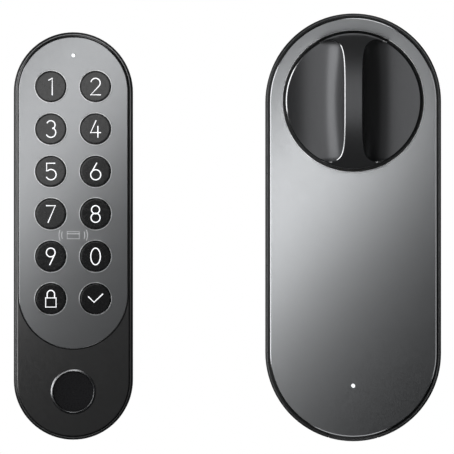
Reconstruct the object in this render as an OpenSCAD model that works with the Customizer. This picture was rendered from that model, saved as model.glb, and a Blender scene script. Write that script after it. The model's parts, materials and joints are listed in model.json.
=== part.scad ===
// Keypad smart lock: an indoor lock drive with a turn knob, and an outdoor keypad with a fingerprint
// reader. Both hang on one door plane, side by side, with their fronts facing -Y and +Z up.
// The origin is on the door plane, on the axis of the lock cylinder that the drive turns.
// Each unit is drawn in its own door coordinates: x across, y up, z is the depth out of the door.

/* [Drive casing] */
// Width of the drive casing
drive_w = 64; // [62:1:90]
// Height of the drive casing
drive_h = 156; // [152:1:220]
// Depth from the door to the front cover's face
drive_depth = 41; // [40:1:60]
// Wall of the drive housing
drive_wall = 2.4; // [1.8:0.2:3]
// Width of the rim that shows round the front cover
drive_rim = 1.2; // [1:0.1:1.6]
// Gap between the rim and the front cover
cover_gap = 0.5; // [0.3:0.1:0.8]
// Thickness of the front cover
cover_t = 1.6; // [1.2:0.2:2.4]
// How far the front cover's face stands out of the rim
cover_proud = 0.4; // [0:0.1:0.8]
// Width of the release button under the drive
release_w = 17.7; // [12:0.1:20]
// Travel of the release button
release_travel = 1.2; // [0.6:0.1:1.5]

/* [Knob] */
// Diameter of the knob
knob_d = 49.2; // [40:0.2:49.2]
// Gap round the knob in the front cover
knob_gap = 1.1; // [0.5:0.1:1.5]
// How far the grip stands out of the front cover
knob_proud = 16; // [12:0.5:20]
// Width of the grip in its middle
grip_w = 6.9; // [5:0.1:9]
// Height of the finger scoops' floor over the front cover
scoop_floor = 2; // [1:0.5:4]
// Radius of the hollow between a scoop's floor and the grip
scoop_r = 13.2; // [8:0.2:14]
// Radius of the scoops' corners beside the grip
scoop_corner_r = 3.6; // [2.5:0.1:5]
// Radius of the knob's shaft
shaft_r = 4.95; // [4:0.05:6]

/* [Drive train] */
// Gear module
gear_module = 0.8; // [0.8:0.05:0.85]
// Teeth on the output gear
output_teeth = 54; // [46:2:54]
// Teeth on the idler gear
idler_teeth = 28; // [24:2:30]
// Teeth on the motor's pinion
pinion_teeth = 14; // [12:1:16]
// Width of the gears
gear_t = 5; // [4:0.5:6]
// Radius of the socket that takes the lock cylinder's shaft
socket_r = 4; // [3:0.25:5]
// Depth of that socket
socket_l = 14; // [10:1:16]
// Outer radius of the coupler
coupler_r = 7.5; // [6.5:0.1:8]
// Diameter of the gear motor
motor_d = 20; // [16:1:22]

/* [Door plate] */
// Thickness of the door plate
door_plate_t = 2.4; // [2:0.2:3]
// Radius of the hole for the lock cylinder
cylinder_r = 9; // [8.8:0.1:9.5]
// Distance between the door plate's screw holes
door_hole_pitch = 50; // [40:1:54]
// Radius of the door plate's screw holes
door_hole_r = 2.2; // [1.6:0.1:2.6]

/* [Keypad casing] */
// Width of the keypad
keypad_w = 43.5; // [42:0.5:60]
// Height of the keypad
keypad_h = 149.1; // [146:0.1:200]
// Depth from the door to the keypad's front
keypad_depth = 22; // [22:0.5:30]
// Distance between the middles of the two units
unit_pitch = 102.3; // [70:0.1:160]
// Height of the keypad's lowest point over the drive's
keypad_raise = 0.3; // [0:0.1:10]
// Wall of the keypad's shell
shell_wall = 1.8; // [1.4:0.1:2.4]
// Width of the shell's rim round the front panel
shell_rim = 1; // [0.8:0.1:1.3]
// Gap between the rim and the front panel
panel_gap = 0.15; // [0.1:0.05:0.3]
// Width of black panel left round the face plate
plate_margin = 0.45; // [0.4:0.05:0.8]
// Height of the face plate
face_plate_h = 114.2; // [112:0.2:118]

/* [Keys] */
// Diameter of a key
key_d = 10.9; // [9.6:0.1:14]
// Clearance round a key
key_gap = 0.3; // [0.25:0.05:0.4]
// Distance between the two columns of keys
key_pitch_x = 16.35; // [15.8:0.05:18]
// Distance between the rows of keys
key_pitch_y = 15.53; // [15:0.01:15.6]
// Travel of a key
key_travel = 0.6; // [0.3:0.1:0.6]
// Height of a key's face over the face plate
key_proud = 0.2; // [0:0.1:0.5]

/* [Fingerprint reader] */
// Outer diameter of the reader's ring
finger_ring_d = 16.4; // [14:0.2:18]
// Width of the ring
finger_ring_w = 0.9; // [0.6:0.1:1.4]
// Height of the reader over the keypad's lowest point
finger_up = 17.6; // [17:0.1:20]

/* [Keypad power and mounting] */
// Diameter of a battery cell
cell_d = 10.5; // [10.5:0.1:10.5]
// Length of a battery cell
cell_l = 44.5; // [44.5:0.1:44.5]
// Distance between the wall bracket's screw holes
bracket_hole_pitch = 84; // [60:1:96]
// Radius of the wall bracket's screw holes
bracket_hole_r = 2; // [1.5:0.1:2.4]

/* [Hidden] */
$fn = 64;
KEY_NAMES = ["1", "2", "3", "4", "5", "6", "7", "8", "9", "0", "lock", "confirm"];

// Small gaps and skins that many pieces share
slack = 0.4;          // between fixed pieces that only lie beside each other
run_gap = 0.05;       // between a shaft and its bore
edge = 0.3;           // chamfer on the edges that show
overlap = 0.2;        // how far fused shapes reach into each other
eps = 0.01;

// Drive casing, worked out
drive_r = drive_w / 2;
drive_straight = drive_h - drive_w;
drive_rim_front = drive_depth - cover_proud;
cover_r = drive_r - drive_rim - cover_gap;
cover_back = drive_depth - cover_t;
inner_r = drive_r - drive_wall;
housing_back = 0.6;
rim_round = 0.9;
deck_t = 2;
deck_front = cover_back - 1.8;
deck_back = deck_front - deck_t;
back_cover_back = door_plate_t + 0.6;
back_cover_t = 1.8;
back_cover_front = back_cover_back + back_cover_t;
boss_r = 3.2;
boss_in = 2.6;        // from the inner wall to a boss's middle
corner_boss = (inner_r - boss_in + 0.6) / sqrt(2);
BOSSES = [for (side = [-1, 1]) each [
    [side * corner_boss, corner_boss],
    [side * (inner_r - boss_in), -40],
    [side * corner_boss, -drive_straight - corner_boss]]];

// Drive train, worked out
gear_back = back_cover_front + 3.2;
gear_front = gear_back + gear_t;
frame_back = gear_front + 1;
frame_t = 2;
frame_front = frame_back + frame_t;
coupler_back = back_cover_front + 1.6;
coupler_front = coupler_back + socket_l + 4;
gear_bore_r = coupler_r + run_gap;
tooth_play = 0.12;
idler_pin_r = 1.5;
motor_shaft_r = 1.5;
motor_r = motor_d / 2;
mesh_gap = 0.05;      // added to each centre distance
idler_reach = gear_module * (output_teeth + idler_teeth) / 2 + mesh_gap;
pinion_reach = gear_module * (idler_teeth + pinion_teeth) / 2 + mesh_gap;
idler_dir = 254;      // direction from the output gear to the idler
pinion_dir = -18;     // direction from the idler to the pinion
idler_at = idler_reach * [cos(idler_dir), sin(idler_dir)];
pinion_at = idler_at + pinion_reach * [cos(pinion_dir), sin(pinion_dir)];
idler_phase = mesh_phase(idler_dir, 0, output_teeth, idler_teeth);
pinion_phase = mesh_phase(pinion_dir, idler_phase, idler_teeth, pinion_teeth);

// Knob, worked out
knob_r = knob_d / 2;
knob_back = deck_front + 1;
knob_top = drive_depth + knob_proud;
floor_at = drive_depth + scoop_floor;
knob_drop = 5;        // how far the grip's back falls from its middle to its ends
knob_arch_r = (knob_r * knob_r + knob_drop * knob_drop) / (2 * knob_drop);
knob_hole_r = knob_r + knob_gap;
shaft_end = floor_at + 2.4;
bush_r = shaft_r + 3;
bush_flange_t = 0.6;

// Battery bay of the drive
battery_w = 47.2;
battery_top = -50.4;
battery_h = 48.7;
battery_back = frame_front + slack / 2;
battery_front = deck_front - 0.2;
light_r = 0.65;
drive_light_y = -drive_straight - 11.8;
board_t = 1.6;
board_front = frame_back - 0.6;
board_back = board_front - board_t;
peg_r = 1.5;
PEGS = [[-20, -28.5], [20, -28.5], [0, -drive_straight - 19.5]];
MAGNETS = [[-22.5, -34.5], [22.5, -34.5], [-14, -drive_straight - 15], [14, -drive_straight - 15]];
magnet_r = 3.4;
magnet_t = 0.7;
disc_t = 0.8;
ear_w = 12;
ear_y = -66;
ear_x = inner_r - 2.4;
ear_t = 1.7;
ear_front = back_cover_front + 4.8;
euro_slot_w = 11;
euro_drop = 24.5;     // from the cylinder's middle to the slot's lower end

// Release button, worked out
release_gap = 0.3;
release_back = 24;
release_front = cover_back - slack;
release_flange_front = deck_back - 0.8;
release_skin = 2.1;
release_notch_top = release_travel + release_gap - drive_straight
    - sqrt(pow(drive_r - release_skin, 2) - pow(release_w / 2, 2));
flange_skin = 1.4;
spring_d = 5;
spring_wire_d = 0.7;
spring_turns = 5;
spring_depth = 29;
spring_low = -drive_straight - inner_r + flange_skin + 0.6;
spring_high = spring_low + 9;

// Keypad casing, worked out from its own top middle
keypad_r = keypad_w / 2;
keypad_straight = keypad_h - keypad_w;
keypad_top_y = -drive_straight - drive_r + keypad_raise + keypad_h - keypad_r;
shell_back = 1;
shell_inner_r = keypad_r - shell_wall;
shell_front = keypad_depth - 0.8;
panel_r = keypad_r - shell_rim - panel_gap;
panel_back = keypad_depth - 3.3;
seat_r = keypad_r - shell_rim;
plate_r = panel_r - plate_margin - 0.1;
plate_straight = face_plate_h - 2 * plate_r;
plate_back = keypad_depth - 1.2;
plate_front = keypad_depth + 0.1;
bracket_t = 2.2;
shell_floor = bracket_t + slack;
shell_floor_t = 1.6;
shell_floor_front = shell_floor + shell_floor_t;
ledge_r = shell_inner_r - 0.65;
ledge_front = panel_back - 0.8;
seal_w = 0.55;

// Keys and what lies under them
key_r = key_d / 2;
key_hole_r = key_r + key_gap;
key_front = plate_front + key_proud;
key_flange_r = min(key_r + 1.1, key_pitch_y / 2 - 0.15);
key_flange_front = panel_back - 0.3;
key_flange_t = 0.6;
key_row_top = 1.85;
KEYS = [for (row = [0:5]) each [
    [-key_pitch_x / 2, key_row_top - row * key_pitch_y],
    [key_pitch_x / 2, key_row_top - row * key_pitch_y]]];
dome_top = key_flange_front - key_flange_t - key_travel - 0.05;
mat_t = 0.5;
dome_t = 0.5;
mat_back = dome_top - mat_t - dome_t;
key_board_t = 1;
key_board_back = mat_back - key_board_t;
key_board_w = 30.4;
key_board_top = 16;
key_board_low = -96;
antenna_t = 0.15;
key_light_y = 13.25;
cell_gap = 0.7;
cells_middle = -52;
cell_pitch_y = cell_l + 1.9;
cell_depth = shell_floor_front + 0.2 + cell_d / 2;
door_w = 24.6;
door_h = 2 * cell_pitch_y + 0.4;
screw_post_r = 1.7;
POSTS = [for (y = [key_row_top - 1.5 * key_pitch_y, key_row_top - 4.5 * key_pitch_y, -98])
    each [[-(shell_inner_r - 2.55), y], [shell_inner_r - 2.55, y]]];
finger_y = -keypad_straight - keypad_r + finger_up;
finger_ring_r = finger_ring_d / 2;
finger_hole_r = finger_ring_r + 0.1;
finger_disc_r = finger_ring_r - finger_ring_w - 0.1;
finger_ring_front = keypad_depth + 0.35;
finger_disc_front = keypad_depth - 0.5;
lug_w = 7.8;
lug_h = 5.6;
lug_low = -keypad_straight - shell_inner_r + 2.8;
lug_front = 8;
pocket_gap = 0.4;
lock_screw_r = 1.2;
lock_screw_depth = 5;

// Phase of gear B in mesh with gear A, which has a tooth at phase_a, where B lies in direction dir from A
function mesh_phase(dir, phase_a, teeth_a, teeth_b) =
    dir + 180 + ((dir - phase_a) * teeth_a / 360 - 0.5) * 360 / teeth_b;

// Section of a shallow dish, from its rim at r inwards to the middle, sunk that deep there
function dished(r, front, sunk) = [for (i = [6:-1:0]) [r * i / 6, front - sunk * (1 - i * i / 36)]];

function polar(r, angle) = r * [cos(angle), sin(angle)];
function arc(middle, r, from, to, steps) =
    [for (i = [0:steps]) middle + polar(r, from + (to - from) * i / steps)];

// ---- Shared shapes ----

// Turns door coordinates into the part's frame, with the unit's own zero at x across and z up
module on_door(x = 0, z = 0) translate([x, 0, z]) rotate([90, 0, 0]) children();
module on_keypad() on_door(-unit_pitch, keypad_top_y) children();

// Outline with two round ends: the upper end's middle is at the origin
module stadium(r, straight) {
    circle(r);
    translate([0, -straight]) circle(r);
    translate([-r, -straight]) square([2 * r, straight]);
}

// Sweeps a section round a stadium: its x is the distance from the middle line, its y the depth
module stadium_sweep(straight) {
    rotate_extrude(angle = 180) children();
    translate([0, -straight, 0]) rotate([0, 0, 180]) rotate_extrude(angle = 180) children();
    for (side = [0, 1]) mirror([side, 0, 0]) rotate([90, 0, 0]) linear_extrude(straight) children();
}

module slab(back, front) translate([0, 0, back]) linear_extrude(front - back) children();

module rod(r, back, front, at = [0, 0]) translate([at[0], at[1], back]) cylinder(h = front - back, r = r);

module rounded_rectangle(w, low, high, r) {
    translate([-w / 2, low + r]) square([w, high - low - 2 * r]);
    translate([-w / 2 + r, low]) square([w - 2 * r, high - low]);
    for (x = [-1, 1], y = [low + r, high - r]) translate([x * (w / 2 - r), y]) circle(r);
}

// Plate with a chamfer round its front edge
module chamfered_stadium(r, straight, back, front, chamfer) stadium_sweep(straight)
    polygon([[0, back], [r, back], [r, front - chamfer], [r - chamfer, front], [0, front]]);

// Hole with a chamfer at its front, to be cut out of a plate
module chamfered_hole(r, back, front, chamfer, at = [0, 0]) {
    rod(r, back - 1, front + 1, at);
    translate([at[0], at[1], front - chamfer]) cylinder(h = chamfer + eps, r1 = r, r2 = r + chamfer + eps);
}

// Screw with a flat head at its back
module screw(at, back, front, head_r, head_t, shank_r) {
    rod(head_r, back, back + head_t, at);
    rod(shank_r, back + head_t, front, at);
}

// Involute outline of a gear, thinned for play, with its first tooth pointing along +x
module gear_outline(teeth, bore_r) {
    pitch_r = gear_module * teeth / 2;
    base_r = pitch_r * cos(20);
    tip_r = pitch_r + 0.95 * gear_module;
    root_r = pitch_r - 1.25 * gear_module;
    half_tooth = 90 / teeth - tooth_play / 2 / pitch_r * 180 / PI;
    function roll(r) = sqrt(max(0, r * r / (base_r * base_r) - 1)) * 180 / PI;
    function involute(r) = roll(r) - atan(roll(r) * PI / 180);
    function flank(r) = half_tooth + involute(pitch_r) - involute(max(r, base_r));
    radii = [for (i = [0:4]) max(root_r, base_r) + (tip_r - max(root_r, base_r)) * i / 4];
    rising = concat([root_r], radii);
    difference() {
        polygon([for (tooth = [0:teeth - 1]) each concat(
            [for (r = rising) polar(r, tooth * 360 / teeth - flank(r))],
            [for (i = [len(rising) - 1:-1:0]) polar(rising[i], tooth * 360 / teeth + flank(rising[i]))])]);
        circle(bore_r);
    }
}

// Coil spring along +z from the origin, as one swept tube
module coil_spring(middle_d, wire_d, turns, height) {
    per_turn = 16;
    sides = 6;
    rings = turns * per_turn;
    function along(i) = [middle_d / 2 * cos(360 * i / per_turn), middle_d / 2 * sin(360 * i / per_turn),
                         wire_d / 2 + (height - wire_d) * i / rings];
    points = [for (i = [0:rings], s = [0:sides - 1])
        let (turn = 360 * i / per_turn, out = [cos(turn), sin(turn), 0])
        along(i) + wire_d / 2 * (cos(360 * s / sides) * out + sin(360 * s / sides) * [0, 0, 1])];
    faces = concat(
        [[for (s = [0:sides - 1]) s]],
        [for (i = [0:rings - 1], s = [0:sides - 1]) let (next = (s + 1) % sides)
            [i * sides + s, (i + 1) * sides + s, (i + 1) * sides + next, i * sides + next]],
        [[for (s = [sides - 1:-1:0]) rings * sides + s]]);
    polyhedron(points, faces, convexity = 10);
}

// ---- Door plate and drive ----

module euro_cutout(grow) {
    circle(cylinder_r + grow);
    translate([-euro_slot_w / 2 - grow, -euro_drop + euro_slot_w / 2])
        square([euro_slot_w + 2 * grow, euro_drop - euro_slot_w / 2]);
    translate([0, -euro_drop + euro_slot_w / 2]) circle(euro_slot_w / 2 + grow);
}

module door_mounting_plate() color("darkgray") on_door() {
    holes_y = -59;
    difference() {
        slab(0, door_plate_t) stadium(inner_r - 1, drive_straight);
        slab(-1, door_plate_t + 1) euro_cutout(0);
        for (side = [-1, 1]) rod(door_hole_r, -1, door_plate_t + 1, [0, holes_y + side * door_hole_pitch / 2]);
    }
    ear_back = door_plate_t - overlap;
    for (side = [-1, 1]) translate([side * (ear_x + ear_t / 2) - ear_t / 2, ear_y - ear_w / 2, ear_back])
        cube([ear_t, ear_w, ear_front - ear_back]);
}

module drive_fixing_screws() color("dimgray") on_door()
    for (side = [-1, 1]) translate([side * (ear_x + ear_t), ear_y, ear_front - 2.4])
        rotate([0, side * 90, 0]) cylinder(h = drive_r - ear_x - ear_t - 0.5, r = 1.5);

module drive_wall_section() polygon(concat(
    [[inner_r, housing_back], [drive_r - 0.6, housing_back], [drive_r, housing_back + 0.6]],
    arc([drive_r - rim_round, drive_rim_front - rim_round], rim_round, 0, 90, 6),
    [[drive_r - drive_rim, drive_rim_front], [drive_r - drive_rim, cover_back - 0.2],
     [inner_r, cover_back - 0.2]]));

module drive_housing() color("#1c1d1f") on_door() difference() {
    union() {
        stadium_sweep(drive_straight) drive_wall_section();
        slab(deck_back, deck_front) stadium(inner_r + overlap, drive_straight);
        for (at = BOSSES) rod(boss_r, back_cover_front, deck_back + overlap, at);
        translate([-3.5, spring_high, spring_depth - 3.5]) cube([7, 2, deck_back + overlap - spring_depth + 3.5]);
    }
    rod(bush_r + run_gap, deck_back - 1, deck_front + 1);
    slab(deck_back - 1, deck_front + 1)
        rounded_rectangle(battery_w + 2 * slack, battery_top - battery_h - slack, battery_top + slack, 4);
    for (at = PEGS) rod(peg_r + slack, deck_back - 1, deck_front + 1, at);
    for (at = BOSSES) rod(1.05, back_cover_front - 1, back_cover_front + 9, at);
    rod(light_r + 0.25, deck_back - 1, deck_front + 1, [0, drive_light_y]);
    translate([-release_w / 2 - release_gap, -drive_straight - drive_r - 1, release_back - release_gap])
        cube([release_w + 2 * release_gap, release_notch_top + drive_straight + drive_r + 1, drive_depth]);
    for (side = [-1, 1]) translate([side * (inner_r - 1), ear_y, ear_front - 2.4])
        rotate([0, side * 90, 0]) cylinder(h = drive_wall + 2, r = 1.55);
}

module drive_back_cover() color("#222326") on_door() difference() {
    slab(back_cover_back, back_cover_front) stadium(inner_r - slack, drive_straight);
    slab(0, back_cover_front + 1) euro_cutout(1);
    for (at = BOSSES) {
        rod(1.15, 0, back_cover_front + 1, at);
        rod(2.1, 0, back_cover_back + 1, at);
    }
    for (side = [-1, 1]) translate([side * inner_r - 3, ear_y - ear_w / 2 - slack, 0])
        cube([6, ear_w + 2 * slack, back_cover_front + 1]);
}

module drive_casing_screws() color("silver") on_door()
    for (at = BOSSES) screw(at, back_cover_back, back_cover_front + 8, 1.9, 0.9, 1);

module drive_frame() color("gray") on_door() difference() {
    slab(frame_back, frame_front) stadium(inner_r - slack, drive_straight);
    rod(coupler_r + 0.5, frame_back - 1, frame_front + 1);
    rod(3.8, frame_back - 1, frame_front + 1, pinion_at);
    rod(light_r + 0.3, frame_back - 1, frame_front + 1, [0, drive_light_y]);
    for (at = BOSSES) rod(boss_r + slack, frame_back - 1, frame_front + 1, at);
}

module drive_front_cover() color("#8a8d90") on_door() difference() {
    union() {
        chamfered_stadium(cover_r, drive_straight, cover_back, drive_depth, edge);
        rod(knob_hole_r + 1.2, cover_back - 1.4, cover_back + overlap);
        for (at = PEGS) rod(peg_r, deck_back + 0.6, cover_back + overlap, at);
    }
    chamfered_hole(knob_hole_r, cover_back - 2, drive_depth, edge);
    rod(light_r + 0.2, cover_back - 1, drive_depth + 1, [0, drive_light_y]);
}

module cover_strike_discs() color("silver") on_door()
    for (at = MAGNETS) rod(magnet_r, cover_back - disc_t, cover_back, at);

module cover_magnets() color("silver") on_door()
    for (at = MAGNETS) rod(magnet_r, deck_front, deck_front + magnet_t, at);

// One finger scoop on the +x side, with a flat floor, a hollow up to the grip and round corners
module finger_scoop() {
    wall_x = grip_w / 2;
    corner_y = sqrt(pow(knob_r - 0.9 - scoop_corner_r, 2) - pow(wall_x + scoop_corner_r, 2));
    tangent = atan2(corner_y, wall_x + scoop_corner_r);
    half = concat([[wall_x, 0]], arc([wall_x + scoop_corner_r, corner_y], scoop_corner_r, 180, tangent + 5, 10),
        [[knob_r + 4, corner_y - 0.6]]);
    intersection() {
        slab(floor_at - 1, knob_top + 1)
            polygon(concat(half, [for (i = [len(half) - 1:-1:0]) [half[i][0], -half[i][1]]]));
        rotate([90, 0, 0]) linear_extrude(2 * knob_r, center = true) polygon(concat(
            arc([wall_x + scoop_r, floor_at + scoop_r], scoop_r, 180, 270, 12),
            [[knob_r + 5, floor_at], [knob_r + 5, knob_top + 1], [wall_x, knob_top + 1]]));
    }
}

module knob() color("#303133") on_door() difference() {
    intersection() {
        stadium_knob_blank();
        translate([0, 0, knob_top - knob_arch_r]) rotate([0, 90, 0])
            cylinder(h = 2 * knob_d, r = knob_arch_r, center = true, $fn = 128);
    }
    finger_scoop();
    mirror([1, 0, 0]) finger_scoop();
    rod(shaft_r + run_gap, knob_back - 1, shaft_end);
}

module stadium_knob_blank() rod(knob_r, knob_back, knob_top + 1);

module knob_shaft() color("silver") on_door() rod(shaft_r, coupler_front, shaft_end - 0.1);

module knob_bush() color("burlywood") on_door() difference() {
    union() {
        rod(bush_r, deck_back - 2, deck_front + overlap / 2);
        rod(bush_r + 2, deck_front, deck_front + bush_flange_t);
    }
    rod(shaft_r + run_gap, 0, drive_depth);
}

module spindle_coupler() color("silver") on_door() difference() {
    rod(coupler_r, coupler_back, coupler_front);
    rod(socket_r, coupler_back - 1, coupler_back + socket_l);
    translate([0, 0, gear_front + 4.6]) rotate([0, 90, 0]) cylinder(h = coupler_r + 1, r = 1.3);
}

module coupler_set_screw() color("dimgray") on_door() translate([socket_r + 0.4, 0, gear_front + 4.6])
    rotate([0, 90, 0]) cylinder(h = coupler_r - socket_r - 0.6, r = 1.25);

module output_gear() color("ivory") on_door() slab(gear_back, gear_front)
    gear_outline(output_teeth, gear_bore_r);

module idler_gear() color("ivory") on_door() translate([idler_at[0], idler_at[1], 0])
    rotate([0, 0, idler_phase]) slab(gear_back, gear_front) gear_outline(idler_teeth, idler_pin_r + run_gap);

module idler_pin() color("silver") on_door() rod(idler_pin_r, back_cover_front, frame_back, idler_at);

module motor_pinion() color("goldenrod") on_door() {
    translate([pinion_at[0], pinion_at[1], 0]) rotate([0, 0, pinion_phase])
        slab(gear_back, gear_front) gear_outline(pinion_teeth, motor_shaft_r - overlap);
    rod(motor_shaft_r, gear_back, frame_front + 2, pinion_at);
}

module gear_motor() color("lightsteelblue") on_door() difference() {
    union() {
        rod(motor_r, frame_front, frame_front + 8, pinion_at);
        rod(motor_r - 0.6, frame_front + 8 - overlap, frame_front + 18.4, pinion_at);
        rod(3.4, frame_back + 0.3, frame_front + overlap, pinion_at);
    }
    rod(motor_shaft_r + run_gap, frame_back - 1, frame_front + 2.4, pinion_at);
}

module battery_pack() color("#2b2d30") on_door() slab(battery_back, battery_front)
    rounded_rectangle(battery_w, battery_top - battery_h, battery_top, 3.6);

module battery_pull_tab() color("orangered") on_door()
    translate([-5, battery_top - battery_h + 3, battery_front]) cube([10, 18, 0.4]);

module drive_circuit_board() color("darkgreen") on_door() slab(board_back, board_front) {
    rounded_rectangle(44, -drive_straight - 14, battery_top - 2, 2);
    rounded_rectangle(24, -drive_straight - 24, -drive_straight - 8, 2);
}

module drive_board_parts() color("black") on_door() {
    boxes = [[-8, -62, 7, 7, 1.2], [9, -64, 10, 6, 1.4], [-10, -80, 9, 9, 1.6], [8, -80, 12, 5, 1.1],
             [-14, -97, 5, 8, 1.9], [6, -97, 14, 7, 1.7]];
    for (b = boxes) translate([b[0] - b[2] / 2, b[1] - b[3] / 2, board_back - b[4]]) cube([b[2], b[3], b[4]]);
}

module drive_status_light() color("white") on_door()
    rod(light_r, board_front, drive_depth - 0.05, [0, drive_light_y]);

// Piece of the housing's wall ring between two radii, as wide as asked, at the lower end
module lower_wall_piece(outer_r, thickness, width, back, front) intersection() {
    slab(back, front) difference() {
        translate([0, -drive_straight]) circle(outer_r);
        translate([0, -drive_straight]) circle(outer_r - thickness);
    }
    translate([-width / 2, -drive_straight - drive_r - 1, back - 1])
        cube([width, drive_r * 0.4, front - back + 2]);
}

module release_button() color("#2a2b2d") on_door() {
    lower_wall_piece(drive_r, release_skin, release_w, release_back, release_front);
    lower_wall_piece(inner_r - 0.3, flange_skin, release_w + 4, release_back, release_flange_front);
    lower_wall_piece(drive_r - release_skin + overlap, drive_wall - release_skin + 0.9, release_w - 1,
        release_back, release_flange_front);
}

module release_spring() color("silver") on_door()
    translate([0, spring_low, spring_depth]) rotate([-90, 0, 0])
        coil_spring(spring_d, spring_wire_d, spring_turns, spring_high - spring_low);

// ---- Keypad ----

module keypad_wall_bracket() color("darkgray") on_keypad() difference() {
    union() {
        slab(0, bracket_t) stadium(shell_inner_r - slack, keypad_straight);
        translate([-lug_w / 2, lug_low, bracket_t - overlap]) cube([lug_w, lug_h, lug_front - bracket_t + overlap]);
    }
    for (side = [-1, 1])
        rod(bracket_hole_r, -1, bracket_t + 1, [0, -keypad_straight / 2 + side * bracket_hole_pitch / 2]);
    translate([0, lug_low - 1, lock_screw_depth]) rotate([-90, 0, 0])
        cylinder(h = lug_h + 2, r = lock_screw_r + 0.05);
}

module bracket_lock_screw() color("silver") on_keypad()
    translate([0, -keypad_straight - keypad_r + 0.4, lock_screw_depth]) rotate([-90, 0, 0]) {
        cylinder(h = 0.9, r = 2.1);
        cylinder(h = keypad_r - shell_inner_r + 6.6, r = lock_screw_r);
    }

module shell_section() polygon(concat(
    [[shell_inner_r, shell_back], [keypad_r - 0.6, shell_back], [keypad_r, shell_back + 0.6]],
    arc([keypad_r - 0.7, shell_front - 0.7], 0.7, 0, 90, 6),
    [[seat_r, shell_front], [seat_r, panel_back - 0.1], [shell_inner_r, panel_back - 0.1],
     [shell_inner_r, ledge_front], [ledge_r, ledge_front], [ledge_r, ledge_front - 1.2],
     [shell_inner_r, ledge_front - 1.8]]));

module keypad_rear_shell() color("#1a1b1d") on_keypad() difference() {
    pocket_low = lug_low - pocket_gap;
    pocket_high = lug_low + lug_h + pocket_gap;
    pocket_w = lug_w + 2 * pocket_gap;
    union() {
        stadium_sweep(keypad_straight) shell_section();
        slab(shell_floor, shell_floor_front) stadium(shell_inner_r + overlap, keypad_straight);
        for (at = POSTS) rod(screw_post_r, shell_floor_front - overlap, panel_back, at);
        translate([-pocket_w / 2 - 1.2, -keypad_straight - shell_inner_r + 0.6, shell_floor_front - overlap])
            cube([pocket_w + 2.4, pocket_high + 1.2 + keypad_straight + shell_inner_r - 0.6,
                  lug_front + pocket_gap + 1.2 - shell_floor_front + overlap]);
    }
    translate([-pocket_w / 2, pocket_low, 0]) cube([pocket_w, pocket_high - pocket_low, lug_front + pocket_gap]);
    slab(0, shell_floor_front + 1) rounded_rectangle(door_w + slack, cells_middle - door_h / 2 - slack / 2,
        cells_middle + door_h / 2 + slack / 2, 2);
    for (at = POSTS) {
        rod(1, 0, panel_back + 1, at);
        rod(1.95, 0, shell_floor + 0.8, at);
    }
    translate([0, -keypad_straight - keypad_r - 1, lock_screw_depth]) rotate([-90, 0, 0]) {
        cylinder(h = 6, r = lock_screw_r + 0.2);
        cylinder(h = 2.3, r = 2.3);
    }
}

module keypad_shell_screws() color("silver") on_keypad()
    for (at = POSTS) screw(at, shell_floor, panel_back + 1.3, 1.8, 0.8, 0.9);

module keypad_battery_cover() color("#242528") on_keypad() slab(shell_floor, shell_floor_front)
    rounded_rectangle(door_w, cells_middle - door_h / 2, cells_middle + door_h / 2, 1.8);

module keypad_cells() color("steelblue") on_keypad()
    for (x = [-1, 1], y = [-1, 1])
        translate([x * (cell_d + cell_gap) / 2, cells_middle + y * cell_pitch_y / 2, cell_depth])
        rotate([y * x * 90, 0, 0]) {
            translate([0, 0, -cell_l / 2]) cylinder(h = cell_l - 0.8, r = cell_d / 2);
            cylinder(h = cell_l / 2, r = 1.9);
        }

module keypad_cell_contacts() color("silver") on_keypad() {
    contact_w = cell_d - 1.5;
    for (x = [-1, 1], y = [-1, 0, 1]) translate([x * (cell_d + cell_gap) / 2 - contact_w / 2,
            cells_middle + y * (cell_pitch_y - 0.4) - 0.2, cell_depth - contact_w / 2])
        cube([contact_w, 0.4, contact_w]);
}

module keypad_circuit_board() color("darkgreen") on_keypad()
    slab(key_board_back, mat_back) rounded_rectangle(key_board_w, key_board_low, key_board_top, 9);

module key_switches() color("silver") on_keypad()
    for (at = KEYS) rod(2.4, mat_back, mat_back + 0.4, at);

module key_dome_mat() color("lightgray") on_keypad() difference() {
    union() {
        slab(mat_back, mat_back + mat_t)
            rounded_rectangle(key_board_w - 1.2, key_row_top - 5 * key_pitch_y - 8, key_row_top + 8, 4);
        for (at = KEYS) rod(3.4, mat_back + mat_t - overlap, dome_top, at);
    }
    for (at = KEYS) rod(2.7, mat_back - 1, mat_back + 0.45, at);
}

module card_antenna() color("peru") on_keypad() slab(key_board_back - antenna_t, key_board_back)
    for (turn = [0:2]) difference() {
        inset = 1 + turn * 1.1;
        rounded_rectangle(key_board_w - 2 * inset, key_board_low + inset, -4 - inset, 7 - turn);
        rounded_rectangle(key_board_w - 2 * inset - 1.2, key_board_low + inset + 0.6, -4.6 - inset, 6.4 - turn);
    }

module keypad_buzzer() color("black") on_keypad() rod(4.5, key_board_back - 3, key_board_back, [0, 5]);

module keypad_front_panel() color("#26272a") on_keypad() difference() {
    chamfered_stadium(panel_r, keypad_straight, panel_back, keypad_depth, 0.35);
    slab(plate_back, keypad_depth + 1) stadium(plate_r + 0.1, plate_straight);
    for (at = KEYS) rod(key_hole_r, panel_back - 1, keypad_depth + 1, at);
    for (at = POSTS) rod(0.95, panel_back - 1, panel_back + 1.5, at);
    rod(light_r + 0.15, panel_back - 1, keypad_depth + 1, [0, key_light_y]);
    rod(finger_hole_r, panel_back - 1, keypad_depth + 1, [0, finger_y]);
}

module keypad_face_plate() color("#9a9da0") on_keypad() difference() {
    chamfered_stadium(plate_r, plate_straight, plate_back, plate_front, edge);
    for (at = KEYS) chamfered_hole(key_hole_r, plate_back, plate_front, 0.2, at);
    rod(light_r + 0.15, plate_back - 1, plate_front + 1, [0, key_light_y]);
}

module keypad_status_light() color("white") on_keypad() rod(light_r, mat_back, plate_front, [0, key_light_y]);

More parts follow.
